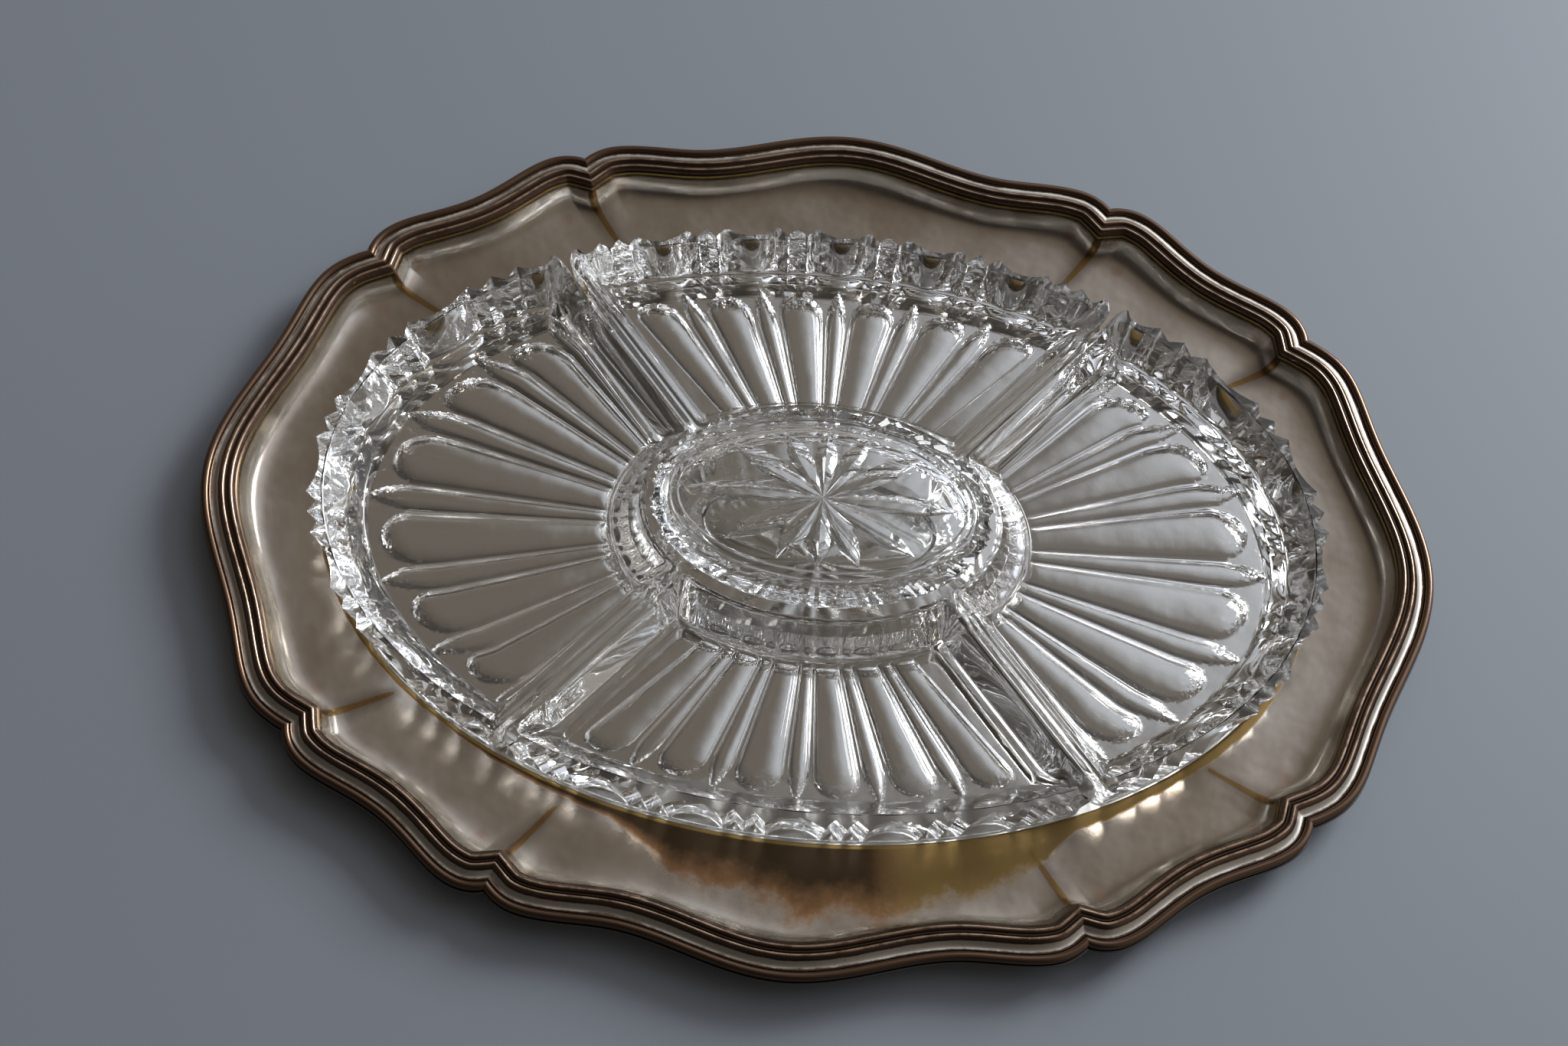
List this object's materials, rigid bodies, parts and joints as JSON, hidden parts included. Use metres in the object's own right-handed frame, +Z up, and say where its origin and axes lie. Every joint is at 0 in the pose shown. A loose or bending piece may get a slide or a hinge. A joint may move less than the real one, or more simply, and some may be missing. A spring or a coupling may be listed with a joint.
{
  "type": "appetizer dish",
  "caption": "Oval silver-plated tray with a scalloped, reeded rim, holding clear pressed-glass wedge dishes around an oval centre dish with a star-cut lid.",
  "frame": {"origin": "on the table under the middle of the tray", "axes": "+X along the tray's length, -Y towards the viewer of the picture, +Z up"},
  "size_m": [0.42, 0.322, 0.031],
  "materials": {
    "silver_plate": "satin silver plate with brown and gold tarnish",
    "worn_border": "silver plate worn to brown on the ridges",
    "clear_glass": "clear pressed glass, polished"
  },
  "bodies": {
    "tray": {"tray_pan": "silver_plate", "rim_border": "worn_border"},
    "front_dish": {"front_dish": "clear_glass"},
    "back_dish": {"back_dish": "clear_glass"},
    "left_dish": {"left_dish": "clear_glass"},
    "right_dish": {"right_dish": "clear_glass"},
    "centre_dish": {"centre_dish": "clear_glass"},
    "lid": {"lid": "clear_glass"}
  },
  "joints": [
    {"name": "front_dish_lift", "type": "slide", "parent": "tray", "child": "front_dish", "axis": [0, 0, 1], "range_m": [0, 0.06]},
    {"name": "back_dish_lift", "type": "slide", "parent": "tray", "child": "back_dish", "axis": [0, 0, 1], "range_m": [0, 0.06]},
    {"name": "left_dish_lift", "type": "slide", "parent": "tray", "child": "left_dish", "axis": [0, 0, 1], "range_m": [0, 0.06]},
    {"name": "right_dish_lift", "type": "slide", "parent": "tray", "child": "right_dish", "axis": [0, 0, 1], "range_m": [0, 0.06]},
    {"name": "centre_dish_lift", "type": "slide", "parent": "tray", "child": "centre_dish", "axis": [0, 0, 1], "range_m": [0, 0.06]},
    {"name": "lid_lift", "type": "slide", "parent": "centre_dish", "child": "lid", "axis": [0, 0, 1], "range_m": [0, 0.04]}
  ]
}
